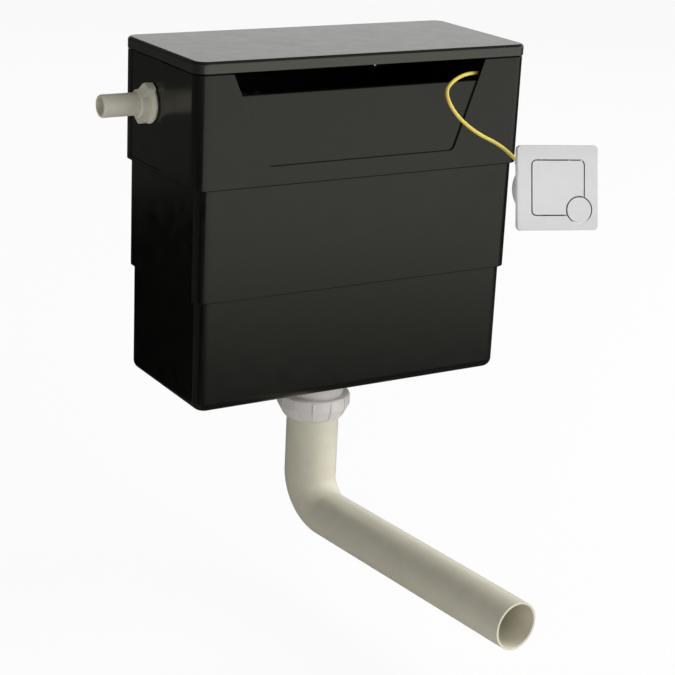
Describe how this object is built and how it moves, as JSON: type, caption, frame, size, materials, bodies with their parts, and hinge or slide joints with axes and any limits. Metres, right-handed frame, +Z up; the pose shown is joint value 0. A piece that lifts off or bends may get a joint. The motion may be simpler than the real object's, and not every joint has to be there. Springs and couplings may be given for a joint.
{
  "type": "concealed toilet cistern",
  "caption": "Black stepped concealed cistern for a back-to-wall toilet, with lift-off lid, side inlet, bent flush pipe and a cable-driven dual-flush push plate.",
  "frame": {"origin": "midway between the two wall screw holes, on the tank's back plane that lies on the wall", "axes": "+X to the right seen from the front, +Y into the wall, +Z up; the front of the tank looks along -Y"},
  "size_m": [0.4399, 0.3932, 0.4938],
  "materials": {
    "tank_plastic": "black moulded polystyrene, satin",
    "white_plastic": "off-white moulded plastic, satin",
    "pipe_plastic": "off-white extruded plastic, satin",
    "blue_plastic": "dark blue moulded plastic",
    "plate_silver": "light silver-grey satin plastic",
    "housing_grey": "grey moulded plastic",
    "seal_rubber": "black rubber",
    "foam": "dark closed-cell foam",
    "steel": "stainless steel",
    "ferrule_plastic": "black moulded plastic",
    "cable_yellow": "yellow plastic sleeve"
  },
  "bodies": {
    "cistern": {"tank": "tank_plastic", "fill_valve_body": "white_plastic", "inlet_backnut": "white_plastic", "fill_valve_cap": "white_plastic", "fill_tube": "white_plastic", "valve_seat": "white_plastic", "valve_backnut": "white_plastic", "valve_cage": "white_plastic", "coupling_nut": "white_plastic", "clamp_nut": "white_plastic", "flush_pipe": "pipe_plastic", "cable_bracket": "blue_plastic", "flush_plate": "plate_silver", "button_housing": "housing_grey", "housing_cover": "housing_grey", "inlet_washer": "seal_rubber", "seat_gasket": "seal_rubber", "pipe_seal": "seal_rubber", "panel_gasket": "foam", "float_arm_pin": "steel", "lift_crank_pin": "steel", "pull_crank_pin": "steel", "rocker_pin": "steel", "cover_screws": "steel", "full_flush_spring": "steel", "half_flush_spring": "steel", "valve_ferrule": "ferrule_plastic", "plate_ferrule": "ferrule_plastic", "pull_cable": "cable_yellow"},
    "lid": {"lid": "tank_plastic"},
    "full_button": {"full_flush_button": "plate_silver"},
    "half_button": {"half_flush_button": "plate_silver"},
    "pull_crank": {"pull_crank": "housing_grey"},
    "half_rocker": {"half_flush_rocker": "housing_grey"},
    "plate_wire": {"plate_wire_end": "steel"},
    "valve_wire": {"valve_wire_end": "steel"},
    "lift_crank": {"lift_crank": "blue_plastic"},
    "flush_tube": {"overflow_tube": "white_plastic", "flush_seal": "seal_rubber", "lift_float": "white_plastic"},
    "float": {"float_arm": "white_plastic", "float_screw": "steel", "float_cup": "white_plastic"}
  },
  "joints": [
    {"name": "lid_lift", "type": "slide", "parent": "cistern", "child": "lid", "axis": [0, 0, 1], "range_m": [0, 0.08]},
    {"name": "flush_valve_lift", "type": "slide", "parent": "cistern", "child": "flush_tube", "axis": [0, 0, 1], "range_m": [0, 0.01457]},
    {"name": "full_flush_press", "type": "slide", "parent": "cistern", "child": "full_button", "axis": [0.3023, 0.9141, -0.2701], "range_m": [0, 0.004], "stiffness_N_per_m": 400, "deforming": ["full_flush_spring"]},
    {"name": "half_flush_press", "type": "slide", "parent": "cistern", "child": "half_button", "axis": [0.3023, 0.9141, -0.2701], "range_m": [0, 0.004], "stiffness_N_per_m": 400, "deforming": ["half_flush_spring"]},
    {"name": "pull_crank_turn", "type": "hinge", "parent": "cistern", "child": "pull_crank", "pos_m": [0.18054, -0.19656, -0.09129], "axis": [-0.7364, 0.0441, -0.6751], "range_deg": [0, 19.1]},
    {"name": "half_rocker_turn", "type": "hinge", "parent": "cistern", "child": "half_rocker", "pos_m": [0.18841, -0.2018, -0.10022], "axis": [0.7364, -0.0441, 0.6751], "range_deg": [0, 40]},
    {"name": "plate_wire_pull", "type": "slide", "parent": "cistern", "child": "plate_wire", "axis": [0.6052, -0.403, -0.6865], "range_m": [0, 0.006]},
    {"name": "valve_wire_pull", "type": "slide", "parent": "cistern", "child": "valve_wire", "axis": [1, 0, 0], "range_m": [0, 0.006]},
    {"name": "lift_crank_turn", "type": "hinge", "parent": "cistern", "child": "lift_crank", "pos_m": [0.034, -0.0765, -0.049], "axis": [0, 1, 0], "range_deg": [0, 24.56]},
    {"name": "float_lift", "type": "hinge", "parent": "cistern", "child": "float", "pos_m": [-0.114, -0.057, 0.0005], "axis": [0, -1, 0], "range_deg": [0, 20]}
  ],
  "couplings": [
    {"joint": "full_flush_press", "follows": "flush_valve_lift", "ratio": 0.27452},
    {"joint": "pull_crank_turn", "follows": "flush_valve_lift", "rad_per_m": 22.876},
    {"joint": "plate_wire_pull", "follows": "flush_valve_lift", "ratio": 0.41177},
    {"joint": "valve_wire_pull", "follows": "flush_valve_lift", "ratio": 0.41177},
    {"joint": "lift_crank_turn", "follows": "flush_valve_lift", "rad_per_m": 29.412},
    {"joint": "half_rocker_turn", "follows": "half_flush_press", "rad_per_m": 113.64}
  ]
}
